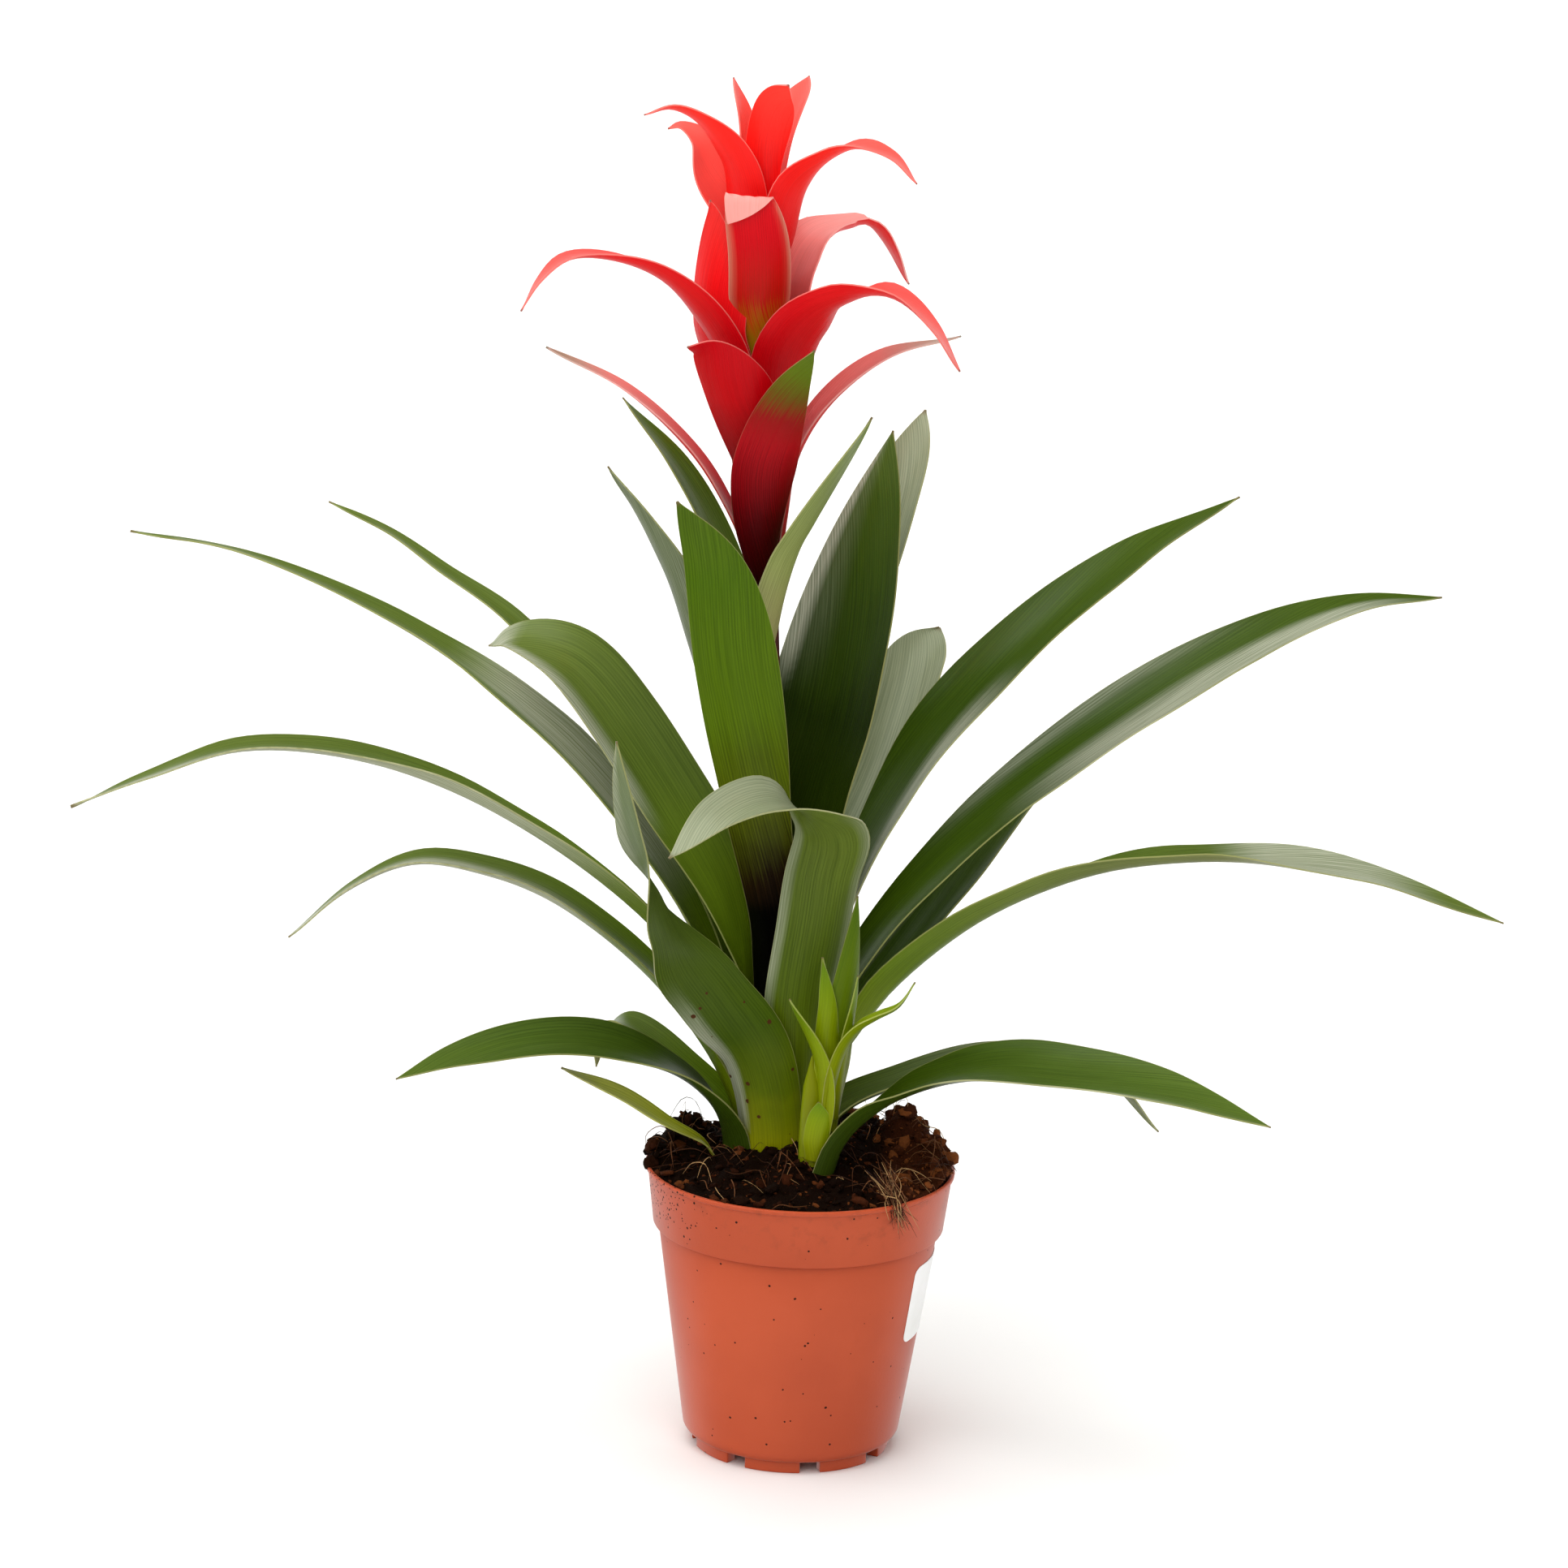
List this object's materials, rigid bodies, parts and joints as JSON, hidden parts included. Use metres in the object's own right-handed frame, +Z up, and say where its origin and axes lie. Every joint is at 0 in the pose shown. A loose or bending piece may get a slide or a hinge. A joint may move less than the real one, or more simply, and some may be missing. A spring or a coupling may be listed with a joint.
{
  "type": "potted guzmania",
  "caption": "Guzmania with arching strap leaves, a spike of red bracts and an offset shoot, in a tapered nursery pot of soil.",
  "frame": {"origin": "on the ground, on the axis of the pot", "axes": "+X to the picture's right along the longest leaves, +Y away from the camera, +Z up"},
  "size_m": [0.5453, 0.2243, 0.5333],
  "materials": {
    "pot_plastic": "satin moulded terracotta-coloured plastic",
    "sticker_paper": "blank satin paper",
    "peat": "loose damp peat with root fibres",
    "stalk": "satin green stalk",
    "green_leaf": "glossy leaf with fine lengthwise veins",
    "young_leaf": "satin yellow-green young leaf",
    "red_bract": "satin red bract"
  },
  "bodies": {
    "root": {"pot": "pot_plastic", "pot_sticker": "sticker_paper", "soil": "peat", "stem": "stalk", "offset_shoot": "young_leaf", "bract_top_front": "red_bract", "bract_top_right": "red_bract", "bract_top_left": "red_bract", "bract_left_high": "red_bract", "bract_left_high_back": "red_bract", "bract_back_high": "red_bract", "bract_right_high": "red_bract", "bract_front_middle": "red_bract", "bract_back_middle": "red_bract", "bract_right_middle": "red_bract", "bract_left_middle_back": "red_bract", "bract_left_middle": "red_bract", "bract_right_lower": "red_bract", "bract_back_lower": "red_bract", "bract_front_left": "red_bract", "bract_left_back": "red_bract", "bract_right_low": "red_bract", "bract_left_low": "red_bract", "bract_front_low": "red_bract", "leaf_heart_right": "green_leaf", "leaf_heart_left": "green_leaf", "leaf_tall_right": "green_leaf", "leaf_heart_front": "green_leaf", "leaf_tall_right_back": "green_leaf", "leaf_tall_front": "green_leaf", "leaf_heart_back": "green_leaf", "leaf_broad_left": "green_leaf", "leaf_upper_right": "green_leaf", "leaf_blunt_right": "green_leaf", "leaf_back_high": "green_leaf", "leaf_slim_left": "green_leaf", "leaf_long_left_upper": "green_leaf", "leaf_long_right_upper": "green_leaf", "leaf_front_fold": "green_leaf", "leaf_long_left": "green_leaf", "leaf_long_right_lower": "green_leaf", "leaf_back_middle": "green_leaf", "leaf_right_back": "green_leaf", "leaf_middle_left": "green_leaf", "leaf_front_sheath": "green_leaf", "leaf_low_left": "green_leaf", "leaf_low_back": "green_leaf", "leaf_low_left_back": "green_leaf", "leaf_low_right_back": "green_leaf", "leaf_low_right": "green_leaf", "leaf_small_left": "green_leaf"}
  },
  "joints": []
}
